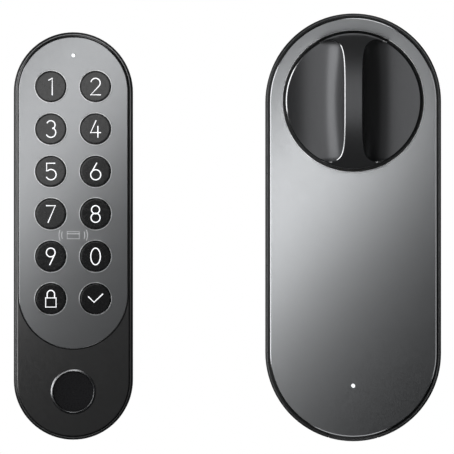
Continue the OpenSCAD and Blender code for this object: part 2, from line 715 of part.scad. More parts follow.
module fingerprint_ring() color("silver") on_keypad() translate([0, finger_y, 0]) rotate_extrude() {
    round_r = finger_ring_w / 2;
    polygon(concat([[finger_ring_r - finger_ring_w, panel_back + 0.8], [finger_ring_r, panel_back + 0.8]],
        arc([finger_ring_r - round_r, finger_ring_front - round_r], round_r, 0, 180, 8)));
}

module fingerprint_sensor() color("#111214") on_keypad() translate([0, finger_y, 0]) rotate_extrude()
    polygon(concat([[0, panel_back + 1.2], [finger_disc_r, panel_back + 1.2]],
        dished(finger_disc_r, finger_disc_front, 0.3)));

module fingerprint_module() color("darkgreen") on_keypad() {
    slab(panel_back - 3.1, panel_back - 0.1) rounded_rectangle(15, finger_y - 7.5, finger_y + 7.5, 1.5);
    rod(finger_disc_r - 0.2, panel_back - 0.1 - overlap, panel_back + 1.2, [0, finger_y]);
}

module keypad_shell_seal() color("dimgray") on_keypad() stadium_sweep(keypad_straight)
    translate([shell_inner_r - seal_w - 0.05, ledge_front]) square([seal_w, panel_back - ledge_front]);

// One key: a flange under the panel, and a cap with a rounded edge and a shallow dish
module key(at) color("#35373a") on_keypad() translate([at[0], at[1], 0]) rotate_extrude() polygon(concat(
    [[0, key_flange_front - key_flange_t], [key_flange_r, key_flange_front - key_flange_t],
     [key_flange_r, key_flange_front], [key_r, key_flange_front]],
    arc([key_r - edge, key_front - edge], edge, 0, 60, 4), dished(key_r - edge, key_front, 0.2)));

drive_housing();
drive_back_cover();
drive_frame();
drive_front_cover();
cover_strike_discs();
cover_magnets();
knob();
knob_shaft();
knob_bush();
spindle_coupler();
coupler_set_screw();
output_gear();
idler_gear();
idler_pin();
motor_pinion();
gear_motor();
battery_pack();
battery_pull_tab();
drive_circuit_board();
drive_board_parts();
drive_status_light();
release_button();
release_spring();
drive_casing_screws();
drive_fixing_screws();
door_mounting_plate();
keypad_wall_bracket();
keypad_rear_shell();
keypad_battery_cover();
keypad_cells();
keypad_cell_contacts();
keypad_circuit_board();
key_switches();
key_dome_mat();
card_antenna();
keypad_buzzer();
keypad_front_panel();
keypad_face_plate();
keypad_status_light();
fingerprint_ring();
fingerprint_sensor();
fingerprint_module();
keypad_shell_seal();
keypad_shell_screws();
bracket_lock_screw();
for (i = [0:len(KEY_NAMES) - 1]) key(KEYS[i]);
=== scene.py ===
"""Keypad smart lock: finishes, knob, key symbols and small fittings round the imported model."""
import json
import math

import bmesh
import bpy
from mathutils import Matrix, Vector, geometry

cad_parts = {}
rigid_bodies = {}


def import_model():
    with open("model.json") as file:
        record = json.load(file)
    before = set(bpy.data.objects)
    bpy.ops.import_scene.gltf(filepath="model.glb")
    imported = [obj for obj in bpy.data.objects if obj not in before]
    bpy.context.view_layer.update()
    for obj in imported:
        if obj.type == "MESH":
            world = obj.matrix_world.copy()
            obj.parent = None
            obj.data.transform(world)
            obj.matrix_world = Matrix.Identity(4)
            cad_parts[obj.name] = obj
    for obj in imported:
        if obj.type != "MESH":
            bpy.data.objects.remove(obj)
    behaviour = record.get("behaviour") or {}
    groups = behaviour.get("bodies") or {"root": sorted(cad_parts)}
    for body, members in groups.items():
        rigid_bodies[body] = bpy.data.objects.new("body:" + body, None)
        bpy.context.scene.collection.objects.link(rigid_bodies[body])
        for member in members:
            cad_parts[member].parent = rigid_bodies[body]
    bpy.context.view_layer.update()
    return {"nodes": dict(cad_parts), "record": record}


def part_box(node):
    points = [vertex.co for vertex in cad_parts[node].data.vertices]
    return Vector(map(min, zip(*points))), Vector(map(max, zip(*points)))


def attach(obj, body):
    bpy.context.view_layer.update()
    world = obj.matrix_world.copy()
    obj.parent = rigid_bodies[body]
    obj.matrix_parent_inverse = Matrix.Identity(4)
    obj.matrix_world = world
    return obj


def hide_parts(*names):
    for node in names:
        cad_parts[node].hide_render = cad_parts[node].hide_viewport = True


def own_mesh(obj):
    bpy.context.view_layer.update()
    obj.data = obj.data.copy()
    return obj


for leftover in list(bpy.data.objects):
    bpy.data.objects.remove(leftover)
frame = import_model()
scene = bpy.context.scene
nodes = frame["nodes"]

MM = 0.001
UP, OUT = Vector((0, 0, 1)), Vector((0, -1, 0))


def middle(node):
    """Middle of a node's box."""
    low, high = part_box(node)
    return (low + high) / 2


def front_of(node):
    """Y of a node's front, which faces -Y."""
    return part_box(node)[0].y


# ---- Finishes -------------------------------------------------------------------------------------

class Finish:
    """A material being made up: one Principled shader, and texture nodes on the piece's own coordinates."""

    def __init__(self, name, colour, rough, metal=0.0, specular=0.5):
        self.material = bpy.data.materials.new(name)
        self.material.use_nodes = True
        self.tree = self.material.node_tree
        self.shader = self.tree.nodes["Principled BSDF"]
        self.where = self.add("ShaderNodeTexCoord").outputs["Object"]
        self.height = None
        self.material.diffuse_color = (*colour, 1)
        self.set("Base Color", (*colour, 1))
        self.set("Roughness", rough)
        self.set("Metallic", metal)
        self.set("Specular IOR Level", specular)
        self.colour, self.rough = colour, rough

    def set(self, socket, value):
        """Sets one of the shader's own sockets."""
        self.shader.inputs[socket].default_value = value
        return self

    def add(self, kind, **settings):
        """A new texture or helper node."""
        node = self.tree.nodes.new(kind)
        for key, value in settings.items():
            setattr(node, key, value)
        return node

    def join(self, source, target):
        self.tree.links.new(source, target)

    def stretched(self, stretch):
        """The piece's coordinates, scaled along each axis."""
        mapping = self.add("ShaderNodeMapping")
        mapping.inputs["Scale"].default_value = stretch
        self.join(self.where, mapping.inputs["Vector"])
        return mapping.outputs["Vector"]

    def noise(self, grains_per_m, detail=2.0, rough=0.5, stretch=(1, 1, 1)):
        """Cloudy grain, 0 to 1."""
        node = self.add("ShaderNodeTexNoise")
        node.inputs["Scale"].default_value = grains_per_m
        node.inputs["Detail"].default_value = detail
        node.inputs["Roughness"].default_value = rough
        self.join(self.stretched(stretch), node.inputs["Vector"])
        return node.outputs["Fac"]

    def cells(self, cells_per_m):
        """Crystal or flake cells: the distance from each cell's middle."""
        node = self.add("ShaderNodeTexVoronoi")
        node.inputs["Scale"].default_value = cells_per_m
        self.join(self.stretched((1, 1, 1)), node.inputs["Vector"])
        return node.outputs["Distance"]

    def span(self, value, low, high, start=0.3, end=0.7):
        """value, mapped from start..end to low..high."""
        node = self.add("ShaderNodeMapRange")
        for key, number in (("From Min", start), ("From Max", end), ("To Min", low), ("To Max", high)):
            node.inputs[key].default_value = number
        self.join(value, node.inputs["Value"])
        return node.outputs["Result"]

    def tint(self, value, low_colour, high_colour, start=0.3, end=0.7):
        """Base colour between two colours as value goes from start to end."""
        node = self.add("ShaderNodeMix", data_type="RGBA")
        factor, low, high = (i for i in node.inputs if i.enabled)
        low.default_value, high.default_value = (*low_colour, 1), (*high_colour, 1)
        self.join(self.span(value, 0, 1, start, end), factor)
        self.join(next(o for o in node.outputs if o.enabled), self.shader.inputs["Base Color"])
        return self

    def shade(self, value, amount, start=0.3, end=0.7):
        """Base colour a little darker and lighter than the plain one."""
        low = [c * (1 - amount) for c in self.colour]
        high = [min(1, c * (1 + amount)) for c in self.colour]
        return self.tint(value, low, high, start, end)

    def bright_edges(self, colour, rough, flat=0.97, bevel=0.86):
        """Cut edges, where the surface turns away from the face: lighter and smoother metal."""
        normal = self.add("ShaderNodeSeparateXYZ")
        self.join(self.add("ShaderNodeTexCoord").outputs["Normal"], normal.inputs[0])
        facing = self.add("ShaderNodeMath", operation="ABSOLUTE")
        self.join(normal.outputs["Y"], facing.inputs[0])
        edge = self.span(facing.outputs[0], 0, 1, flat, bevel)
        for socket_name, kind, value in (("Base Color", "RGBA", (*colour, 1)), ("Roughness", "FLOAT", rough)):
            node = self.add("ShaderNodeMix", data_type=kind)
            given = [i for i in node.inputs if i.enabled]
            target = self.shader.inputs[socket_name]
            if target.is_linked:
                self.join(target.links[0].from_socket, given[1])
            else:
                given[1].default_value = target.default_value
            given[2].default_value = value
            self.join(edge, given[0])
            self.join([o for o in node.outputs if o.enabled][0], target)
        return self

    def vary_rough(self, value, amount, start=0.3, end=0.7):
        """Roughness a little under and over the plain one."""
        self.join(self.span(value, self.rough - amount, self.rough + amount, start, end),
                  self.shader.inputs["Roughness"])
        return self

    def bump(self, value, height_mm, strength=1.0):
        """Relief of that real height; each call lies on the one before it."""
        node = self.add("ShaderNodeBump")
        node.inputs["Distance"].default_value = height_mm * MM
        node.inputs["Strength"].default_value = strength
        self.join(value, node.inputs["Height"])
        if self.height:
            self.join(self.height, node.inputs["Normal"])
        self.height = node.outputs["Normal"]
        self.join(self.height, self.shader.inputs["Normal"])
        return self


def blasted_metal(name, colour, rough):
    """Bead-blasted and anodised aluminium: a fine even sparkle over a calm satin sheen."""
    f = Finish(name, colour, rough, metal=1.0)
    f.shade(f.noise(9000, 1.0), 0.05)
    f.vary_rough(f.noise(2600, 2.0), 0.035)
    f.bright_edges((0.66, 0.67, 0.69), 0.2)
    return f.bump(f.noise(5200, 2.0, 0.6), 0.004, 0.55).bump(f.noise(320, 2.0), 0.006, 0.12).material


def moulded_plastic(name, colour, rough, grain_mm=0.12, relief_mm=0.004, specular=0.5, index=1.5):
    """Moulding with a fine eroded texture, slightly uneven in its sheen."""
    f = Finish(name, colour, rough, specular=specular).set("IOR", index)
    grain = f.noise(1000 / grain_mm, 2.0, 0.55)
    f.shade(f.noise(700, 3.0), 0.10)
    f.vary_rough(f.noise(900, 3.0), 0.06)
    return f.bump(grain, relief_mm, 0.6).material


def gloss_plastic(name, colour, rough):
    """Smooth moulding with the faint waviness of a polished tool."""
    f = Finish(name, colour, rough)
    f.shade(f.noise(400, 3.0), 0.06)
    f.vary_rough(f.noise(1500, 4.0), 0.03)
    return f.bump(f.noise(60, 1.0), 0.03, 0.15).material


def turned_metal(name, colour, rough, lines_per_mm=14, axis=1):
    """Machined metal with tool lines round or along the piece."""
    f = Finish(name, colour, rough, metal=1.0)
    stretch = [0.04, 0.04, 0.04]
    stretch[axis] = 1.0
    lines = f.noise(lines_per_mm * 1000, 2.0, 0.6, stretch=tuple(stretch))
    f.shade(f.noise(1200, 3.0), 0.06)
    f.vary_rough(lines, 0.06)
    return f.bump(lines, 0.002, 0.5).material


def zinc_sheet(name, colour):
    """Zinc-plated sheet: soft crystal patches with fine rolling lines."""
    f = Finish(name, colour, 0.38, metal=1.0)
    f.shade(f.cells(260), 0.12, 0.0, 0.6)
    f.vary_rough(f.cells(420), 0.08, 0.0, 0.6)
    return f.bump(f.noise(9000, 2.0, stretch=(0.05, 1, 1)), 0.002, 0.4).material


def board_finish(name, colour):
    """Solder mask over a maze of copper tracks."""
    f = Finish(name, colour, 0.34)
    tracks = f.add("ShaderNodeTexBrick", offset=0.37, squash=0.6)
    tracks.inputs["Scale"].default_value = 300
    tracks.inputs["Mortar Size"].default_value = 0.055
    f.join(f.stretched((1, 1, 1)), tracks.inputs["Vector"])
    f.tint(tracks.outputs["Fac"], colour, [min(1, c * 1.9 + 0.01) for c in colour], 0, 1)
    return f.bump(tracks.outputs["Fac"], 0.03, 0.5).material


def woven_tape(name, colour):
    """Flat woven tape."""
    f = Finish(name, colour, 0.8)
    f.set("Sheen Weight", 0.4)
    weft = f.add("ShaderNodeTexWave", bands_direction="X")
    warp = f.add("ShaderNodeTexWave", bands_direction="Z")
    both = f.add("ShaderNodeMath", operation="MULTIPLY")
    for i, wave in enumerate((weft, warp)):
        wave.inputs["Scale"].default_value = 420
        f.join(f.stretched((1, 1, 1)), wave.inputs["Vector"])
        f.join(wave.outputs["Fac"], both.inputs[i])
    f.shade(both.outputs["Value"], 0.35, 0, 1)
    return f.bump(both.outputs["Value"], 0.12, 0.8).material


def light_pipe(name, colour, strength):
    """Milky plastic lit from behind."""
    f = Finish(name, colour, 0.35)
    f.shade(f.noise(2000, 2.0), 0.02)
    f.set("Emission Color", (*colour, 1)).set("Emission Strength", strength)
    return f.bump(f.noise(6000, 1.0), 0.002, 0.3).material


def rubber(name, colour):
    """Matt silicone rubber."""
    f = Finish(name, colour, 0.7)
    f.shade(f.noise(1500, 4.0), 0.12)
    return f.bump(f.noise(4000, 3.0), 0.01, 0.4).material


def painted_coat(name, colour, rough, metal):
    """Satin metallic coat with fine flakes under it."""
    f = Finish(name, colour, rough, metal=metal)
    f.shade(f.cells(8000), 0.10, 0.0, 0.7)
    f.vary_rough(f.noise(1800, 2.0), 0.03)
    return f.bump(f.noise(6500, 2.0, 0.6), 0.003, 0.45).material


cut_edge = turned_metal("polished_cut_edge", (0.62, 0.625, 0.635), 0.2, lines_per_mm=6)
ring_metal = turned_metal("cut_hole_edge", (0.93, 0.94, 0.96), 0.34, lines_per_mm=6)
# Painted highlight: lighter coats for the lines along each casing's rim, the keypad's lighter than the
# drive's because their rims are lit differently.
keypad_painted_highlight_edge = painted_coat("keypad_painted_highlight_coat", (0.36, 0.365, 0.37), 0.34, 0.9)
drive_painted_highlight_edge = painted_coat("drive_painted_highlight_coat", (0.15, 0.152, 0.156), 0.30, 0.9)
# Painted shadow: black for a line round the face plate, where the gap between plate and panel is in shade.
painted_gap_shadow_black = moulded_plastic("painted_gap_shadow", (0.006, 0.006, 0.006), 0.6, specular=0.2)
symbol_white = light_pipe("backlit_symbol", (0.96, 0.97, 1.0), 0.75)
mark_grey_painted_glow = moulded_plastic("printed_mark_painted_glow", (0.80, 0.81, 0.83), 0.45)
# The grey print also glows faintly white, though it is no lamp: painted light over the printed mark.
mark_painted_glow_shader = mark_grey_painted_glow.node_tree.nodes["Principled BSDF"]
mark_painted_glow_shader.inputs["Emission Color"].default_value = (1, 1, 1, 1)
mark_painted_glow_shader.inputs["Emission Strength"].default_value = 0.12

FINISHES = {
    "drive_casing_plastic": moulded_plastic("drive_casing_satin", (0.020, 0.021, 0.022), 0.36, 0.10, 0.003),
    "inner_plastic": moulded_plastic("inner_moulding", (0.035, 0.036, 0.038), 0.55),
    "cover_aluminium": blasted_metal("cover_blasted_grey", (0.50, 0.512, 0.525), 0.34),
    "plated_steel": turned_metal("plated_steel", (0.62, 0.63, 0.64), 0.3),
    "magnet_nickel": turned_metal("magnet_nickel", (0.74, 0.73, 0.70), 0.2, 4),
    "knob_metal": painted_coat("knob_satin_coat", (0.135, 0.137, 0.142), 0.33, 0.85),
    "bush_bronze": turned_metal("sintered_bronze", (0.55, 0.38, 0.20), 0.45, 5),
    "gear_plastic": moulded_plastic("acetal_gear", (0.78, 0.76, 0.68), 0.38, 0.3),
    "pinion_brass": turned_metal("machined_brass", (0.78, 0.60, 0.28), 0.25),
    "motor_steel": turned_metal("motor_can", (0.58, 0.59, 0.61), 0.33),
    "battery_plastic": moulded_plastic("battery_moulding", (0.030, 0.031, 0.034), 0.48, 0.2, 0.006),
    "tab_fabric": woven_tape("pull_tab_tape", (0.80, 0.24, 0.05)),
    "board_laminate": board_finish("board_mask", (0.012, 0.085, 0.035)),
    "light_diffuser": light_pipe("status_light_pipe", (0.95, 0.97, 1.0), 0.9),
    "release_plastic": moulded_plastic("release_button_satin", (0.055, 0.056, 0.059), 0.42),
    "mounting_steel": zinc_sheet("zinc_mounting_sheet", (0.56, 0.57, 0.58)),
    "keypad_casing_plastic": moulded_plastic("keypad_casing_satin", (0.018, 0.019, 0.020), 0.36, 0.10, 0.003),
    "cell_jacket": gloss_plastic("cell_jacket_film", (0.06, 0.09, 0.16), 0.25),
    "silicone": rubber("silicone", (0.30, 0.30, 0.31)),
    "antenna_copper": turned_metal("etched_copper", (0.80, 0.42, 0.24), 0.3),
    "panel_gloss_plastic": moulded_plastic("front_panel_satin", (0.006, 0.0062, 0.0068), 0.36, 0.09, 0.002,
                                           specular=1.0, index=1.9),
    "plate_aluminium": blasted_metal("face_plate_blasted_grey", (0.47, 0.48, 0.492), 0.38),
    "ring_chrome": turned_metal("reader_ring_plating", (0.58, 0.585, 0.60), 0.30, 8),
    "sensor_glass_black": gloss_plastic("reader_coating", (0.016, 0.016, 0.018), 0.28),
    "key_plastic": moulded_plastic("key_cap_fine_grain", (0.008, 0.0082, 0.009), 0.25, 0.14, 0.0015,
                                   specular=1.0, index=1.43),
}
for part in frame["record"]["subparts"]:
    finish = FINISHES[part["material_slot"]]
    mesh = nodes[part["node"]].data
    for index in range(max(1, len(mesh.materials))):
        if index < len(mesh.materials):
            mesh.materials[index] = finish
        else:
            mesh.materials.append(finish)


# ---- Making pieces --------------------------------------------------------------------------------

def settle(name, mesh, materials, body, sharp_degrees=32):
    """A finished piece from a mesh: smooth faces with crisp corners, riding on its body."""
    for material in materials:
        mesh.materials.append(material)
    mesh.polygons.foreach_set("use_smooth", [True] * len(mesh.polygons))
    mesh.set_sharp_from_angle(angle=math.radians(sharp_degrees))
    piece = bpy.data.objects.new(name, mesh)
    scene.collection.objects.link(piece)
    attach(piece, body)
    return piece


def from_bmesh(bm, name):
    """A plain mesh, its faces turned outwards."""
    bmesh.ops.recalc_face_normals(bm, faces=bm.faces)
    mesh = bpy.data.meshes.new(name)
    bm.to_mesh(mesh)
    bm.free()
    return mesh


def around(count):
    """Angles of a full turn in equal steps."""
    return [math.tau * i / count for i in range(count)]


def turned(bm, profile, centre, steps=96):
    """Turns a profile of (radius, y) points in metres round the Y axis through centre, into bm."""
    rings = []
    for radius, y in profile:
        if radius < 1e-9:
            rings.append([bm.verts.new((centre.x, y, centre.z))])
        else:
            rings.append([bm.verts.new((centre.x + radius * math.cos(a), y, centre.z + radius * math.sin(a)))
                          for a in around(steps)])
    for a, b in zip(rings, rings[1:]):
        for i in range(steps):
            j = (i + 1) % steps
            corners = [a[i % len(a)], a[j % len(a)], b[j % len(b)], b[i % len(b)]]
            corners = [v for k, v in enumerate(corners) if v not in corners[:k]]
            if len(corners) > 2:
                bm.faces.new(corners)


def arc(cx, cy, r, start, end, steps):
    """Points on an arc, angles in degrees."""
    angles = [math.radians(start + (end - start) * i / steps) for i in range(steps + 1)]
    return [(cx + r * math.cos(a), cy + r * math.sin(a)) for a in angles]


def smooth_line(points, steps):
    """A smooth line through points."""
    line = []
    padded = [points[0]] + list(points) + [points[-1]]
    for p0, p1, p2, p3 in zip(padded, padded[1:], padded[2:], padded[3:]):
        for i in range(steps):
            t = i / steps
            line.append(tuple(0.5 * (2 * b + (c - a) * t + (2 * a - 5 * b + 4 * c - d) * t * t
                                     + (3 * b - a - 3 * c + d) * t ** 3)
                              for a, b, c, d in zip(p0, p1, p2, p3)))
    return line + [tuple(points[-1])]


# ---- The knob -------------------------------------------------------------------------------------
# A disc with a tall grip across it: a hollowed scoop on each side, cut edges all round the scoops.
# Its sizes are in mm.

KNOB_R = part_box("knob")[1].x / MM
KNOB_BACK, KNOB_TOP = -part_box("knob")[1].y / MM, -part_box("knob")[0].y / MM
KNOB_EDGE_R = KNOB_R - 0.35  # where the top and the scoops end
KNOB_DROP = 5.0  # the grip's ends are this much lower than its middle
KNOB_ARCH_R = (KNOB_R ** 2 + KNOB_DROP ** 2) / (2 * KNOB_DROP)
ARCH_CROWN = 0.007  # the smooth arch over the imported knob's flat facets
GRIP_HALF = 3.3  # half of the grip's width in its middle
SCOOP_FLOOR = -front_of("drive_front_cover") / MM + 2.0  # 2 mm in front of the front cover
SCOOP_LOW = 15.0  # distance of a scoop's lowest line from the middle
SCOOP_EDGE_RISE = 1.5  # from that line up to the knob's edge
SCOOP_POWER = 2.6  # 2 sweeps up to the grip as a quarter ellipse, more is flatter and then steeper
WALL_DROP = 0.3  # upright wall left between a scoop and the cut edge
CUT = 0.3  # width of the cut edges
BACK_BREAK = 0.4  # how much the back's edge is broken
EDGE_MARGIN = 0.3  # inner points keep this far from an outline


def grip_top(z):
    """Height of the grip's arched top."""
    return KNOB_TOP + ARCH_CROWN - (KNOB_ARCH_R - math.sqrt(KNOB_ARCH_R ** 2 - z * z))


def scoop_depth(x, z):
    """Height of the scoop's surface: a channel, deepest at SCOOP_LOW, that sweeps up to the grip."""
    rise = grip_top(z) - CUT - SCOOP_FLOOR - WALL_DROP
    out = abs(x) - SCOOP_LOW
    if out > 0:
        return SCOOP_FLOOR + SCOOP_EDGE_RISE * (out / (KNOB_EDGE_R - SCOOP_LOW)) ** 2
    s = min(1, max(0, -out / (SCOOP_LOW - GRIP_HALF)))
    return SCOOP_FLOOR + rise * (1 - math.sqrt(max(0, 1 - s ** SCOOP_POWER)))


def on_edge(angle):
    """A point of the knob's edge, in plan."""
    return (KNOB_EDGE_R * math.cos(angle), KNOB_EDGE_R * math.sin(angle))


def point_in(x, z, loop):
    """Whether a point lies inside an outline."""
    found = False
    for (xa, za), (xb, zb) in zip(loop, loop[1:] + loop[:1]):
        if (za > z) != (zb > z) and x < (xb - xa) * (z - za) / (zb - za) + xa:
            found = not found
    return found


def plan_key(x, z):
    """Names a point in plan, so that patches that meet share it."""
    return round(x, 4), round(z, 4)


def grip_outline():
    """A quarter of the grip in plan: the scoop's wall, the land beside it, and where each meets the edge."""
    wall_end = math.atan2(20.9, 12.0)
    wall = smooth_line([(GRIP_HALF, 0), (GRIP_HALF, 4), (3.32, 8.1), (3.47, 13.7), (3.95, 17.8), (5.1, 20.5),
                        (7.7, 22.05), (10.2, 21.75), on_edge(wall_end)], 7)
    land = []
    for k, (x, z) in enumerate(wall):
        (xa, za), (xb, zb) = wall[max(k - 1, 0)], wall[min(k + 1, len(wall) - 1)]
        long = math.hypot(xb - xa, zb - za)
        beside = (x - CUT * (zb - za) / long, z + CUT * (xb - xa) / long)
        if math.hypot(*beside) > KNOB_EDGE_R - 0.02:
            break
        land.append(beside)
    land_end = math.atan2(land[-1][1], land[-1][0])
    land.append(on_edge(land_end))
    return wall, wall_end, land, land_end


def knob_mesh():
    """The knob's body: a quarter worked out in plan, lifted, and mirrored to all four."""
    wall, wall_end, land, land_end = grip_outline()
    taper = [on_edge(land_end + (wall_end - land_end) * i / 8) for i in range(1, 8)]
    top_arc = [on_edge(land_end + (math.pi / 2 - land_end) * i / 14) for i in range(1, 15)]
    scoop_arc = [on_edge(wall_end * (1 - i / 60)) for i in range(1, 61)]
    bm = bmesh.new()
    known = {}

    def corner(x, z, height):
        key = (round(x, 4), round(z, 4), round(height, 3))
        if key not in known:
            known[key] = bm.verts.new((x * MM, -height * MM, z * MM))
        return known[key]

    def face(points, material):
        made = [corner(*p) for p in points]
        made = [v for k, v in enumerate(made) if v not in made[:k]]
        if len(made) > 2 and not bm.faces.get(made):
            bm.faces.new(made).material_index = material

    def patch(outline, inner, height, material, mirrors):
        """Fills an outline in plan and lifts it."""
        flat = [Vector(p) for p in outline] + [Vector(p) for p in inner]
        edges = [(i, (i + 1) % len(outline)) for i in range(len(outline))]
        out_v, _, out_f, *_ = geometry.delaunay_2d_cdt(flat, edges, [], 1, 1e-5)
        for tri in out_f:
            for mx, mz in mirrors:
                face([(out_v[i].x * mx, out_v[i].y * mz, height(out_v[i].x, out_v[i].y)) for i in tri],
                     material)

    def inside(x, z, loop, margin):
        return point_in(x, z, loop) and all(math.hypot(x - a, z - b) > margin for a, b in loop)

    four = [(mx, mz) for mx in (1, -1) for mz in (1, -1)]
    land_loop = [(0, 0)] + land + top_arc
    xs = [0.7 * i for i in range(1, 16)]
    zs = [0.9 * i for i in range(1, 28)]
    patch(land_loop + [(0, z) for z in reversed(zs) if z < KNOB_EDGE_R - 0.5],
          [(x, z) for x in xs for z in zs if inside(x, z, land_loop, EDGE_MARGIN)],
          lambda x, z: grip_top(z), 0, four)

    heights = {}
    for i, (x, z) in enumerate(taper + [wall[-1]]):
        heights[plan_key(x, z)] = grip_top(z) - CUT * (i + 1) / (len(taper) + 1)
    wall_keys = {plan_key(x, z) for x, z in wall}

    def cut_height(x, z):
        key = plan_key(x, z)
        if key in heights:
            return heights[key]
        return grip_top(z) - (CUT if key in wall_keys else 0)

    patch(land + taper + list(reversed(wall)), [], cut_height, 1, four)

    levels = 4
    for (x0, z0), (x1, z1) in zip(wall, wall[1:]):
        for mx, mz in four:
            for k in range(levels):
                ring = []
                for x, z, t in ((x0, z0, k), (x1, z1, k), (x1, z1, k + 1), (x0, z0, k + 1)):
                    high, low = grip_top(z) - CUT, scoop_depth(x, z)
                    ring.append((x * mx, z * mz, high + (low - high) * t / levels))
                face(ring, 0)

    scoop_loop = wall + scoop_arc
    lines = [GRIP_HALF + (SCOOP_LOW - GRIP_HALF) * (1 - math.sin(math.radians(a))) for a in range(86, 0, -3)]
    lines += [SCOOP_LOW + 0.8 * i for i in range(12)]
    seam = [(x, 0) for x in reversed(lines) if GRIP_HALF + 0.1 < x < KNOB_EDGE_R - 0.2]
    patch(scoop_loop + seam, [(x, z) for x in lines for z in zs[:26]
                              if inside(x, z, scoop_loop, 0.14 if x < 5 else EDGE_MARGIN)],
          scoop_depth, 0, four)

    rim = [(p, grip_top(p[1])) for p in reversed(top_arc)] + [(land[-1], grip_top(land[-1][1]))]
    rim += [(p, heights[plan_key(*p)]) for p in taper]
    rim += [(wall[-1], grip_top(wall[-1][1]) - CUT), (wall[-1], scoop_depth(*wall[-1]))]
    rim += [(p, scoop_depth(*p)) for p in scoop_arc]
    out = KNOB_R / KNOB_EDGE_R
    foot = KNOB_BACK + BACK_BREAK
    for ((xa, za), ha), ((xb, zb), hb) in zip(rim, rim[1:]):
        for mx, mz in four:
            a, b = (xa * mx, za * mz), (xb * mx, zb * mz)
            oa, ob = (a[0] * out, a[1] * out), (b[0] * out, b[1] * out)
            shiny = 1 if ha < grip_top(za) - 0.1 else 0
            face([(*a, ha), (*b, hb), (*ob, hb - CUT), (*oa, ha - CUT)], shiny)
            face([(*oa, ha - CUT), (*ob, hb - CUT), (*ob, foot), (*oa, foot)], 0)
            face([(*oa, foot), (*ob, foot), (*b, KNOB_BACK), (*a, KNOB_BACK)], 0)
            face([(*a, KNOB_BACK), (*b, KNOB_BACK), (0, 0, KNOB_BACK)], 0)
    bmesh.ops.remove_doubles(bm, verts=bm.verts, dist=2e-6)
    return from_bmesh(bm, "knob_body")


knob_body = settle("knob_body", knob_mesh(), [FINISHES["knob_metal"], cut_edge], "knob", 24)
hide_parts("knob")


# ---- Key caps and their symbols -------------------------------------------------------------------

KEYS = ["1", "2", "3", "4", "5", "6", "7", "8", "9", "0", "lock", "confirm"]
KEY_DISH = 0.05 * MM
CAP_ROUND = 0.3 * MM
FLANGE_W, FLANGE_T = 1.1 * MM, 0.6 * MM


def key_cap(name):
    """A dished cap with a rounded rim over the flange that holds it in its hole."""
    low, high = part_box("key_" + name)
    centre, r_flange = (low + high) / 2, (high.x - low.x) / 2
    r, front, back = r_flange - FLANGE_W, low.y, high.y
    rim = r - CAP_ROUND
    profile = [(0, back), (r_flange, back), (r_flange, back - FLANGE_T), (r, back - FLANGE_T)]
    profile += [(x, -depth) for x, depth in arc(rim, -front - CAP_ROUND, CAP_ROUND, 0, 90, 6)]
    profile += [(rim * t, front + KEY_DISH * (1 - t * t)) for t in (0.92, 0.8, 0.65, 0.5, 0.35, 0.18, 0)]
    bm = bmesh.new()
    turned(bm, profile, centre)
    cap = settle("key_cap_" + name, from_bmesh(bm, "key_cap"), [FINISHES["key_plastic"]], "key_" + name,
                 40)
    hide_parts("key_" + name)
    return centre, front, rim, r


# Symbols as middle lines of their strokes, in mm from the key's middle: x right, y up
SYMBOLS = {
    "1": [[(-0.75, 2.35), (0.5, 3.05), (0.5, -3.05)]],
    "2": [arc(0, 1.35, 1.7, 165, -38, 16) + [(-1.75, -3.02), (1.8, -3.02)]],
    "3": [arc(0, 1.5, 1.55, 150, -62, 16) + arc(0, -1.25, 1.8, 66, -150, 18)],
    "4": [[(0.15, 3.05), (-1.8, -1.3), (1.85, -1.3)], [(0.85, 1.0), (0.85, -3.05)]],
    "5": [[(1.45, 3.02), (-1.55, 3.02), (-1.55, 0.2)] + arc(0.05, -1.15, 1.88, 128, -150, 20)],
    "6": [[(0.4, 3.05), (-1.5, -0.4)], arc(0.05, -1.2, 1.85, 90, 450, 32)],
    "7": [[(-1.6, 3.02), (1.6, 3.02), (-1.0, -3.05)]],
    "8": [arc(0, 1.56, 1.48, 90, 450, 30), arc(0, -1.4, 1.66, 90, 450, 32)],
    "9": [arc(-0.05, 1.45, 1.6, 90, 450, 30), [(1.5, 0.9), (-0.4, -3.05)]],
    "0": [[(1.75 * math.sin(a), 3.05 * math.cos(a)) for a in (math.tau * i / 40 for i in range(41))]],
    "lock": [[(-1.9, 0.35), (1.9, 0.35), (1.9, -3.0), (-1.9, -3.0), (-1.9, 0.35)],
             [(-1.35, 0.35)] + arc(0, 1.75, 1.35, 180, 0, 14) + [(1.35, 0.35)]],
    "confirm": [[(-2.6, 0.75), (-0.55, -1.25), (2.6, 1.75)]],
}


def socket(tree, name):
    """A modifier's key for one of its tree's inputs."""
    return next(i.identifier for i in tree.interface.items_tree if i.item_type == "SOCKET" and i.name == name)


def new_tree(name, **sizes):
    """An empty shape tree with named inputs, its input and output nodes and a helper to link nodes."""
    tree = bpy.data.node_groups.new(name, "GeometryNodeTree")
    tree.interface.new_socket("Geometry", in_out="INPUT", socket_type="NodeSocketGeometry")
    for size, (kind, value) in sizes.items():
        tree.interface.new_socket(size, in_out="INPUT", socket_type=kind).default_value = value
    tree.interface.new_socket("Finish", in_out="INPUT", socket_type="NodeSocketMaterial")
    tree.interface.new_socket("Geometry", in_out="OUTPUT", socket_type="NodeSocketGeometry")
    source, result = tree.nodes.new("NodeGroupInput"), tree.nodes.new("NodeGroupOutput")

    def node(kind, links=(), **settings):
        made = tree.nodes.new(kind)
        for key, value in settings.items():
            setattr(made, key, value)
        for key, value in dict(links).items():
            if isinstance(value, bpy.types.NodeSocket):
                tree.links.new(value, made.inputs[key])
            else:
                made.inputs[key].default_value = value
        return made

    def close(geometry_socket):
        real = node("GeometryNodeRealizeInstances", {"Geometry": geometry_socket})
        dressed = node("GeometryNodeSetMaterial", {"Geometry": real.outputs[0],
                                                   "Material": source.outputs["Finish"]})
        tree.links.new(dressed.outputs[0], result.inputs["Geometry"])
        return tree

    return tree, source.outputs, node, close


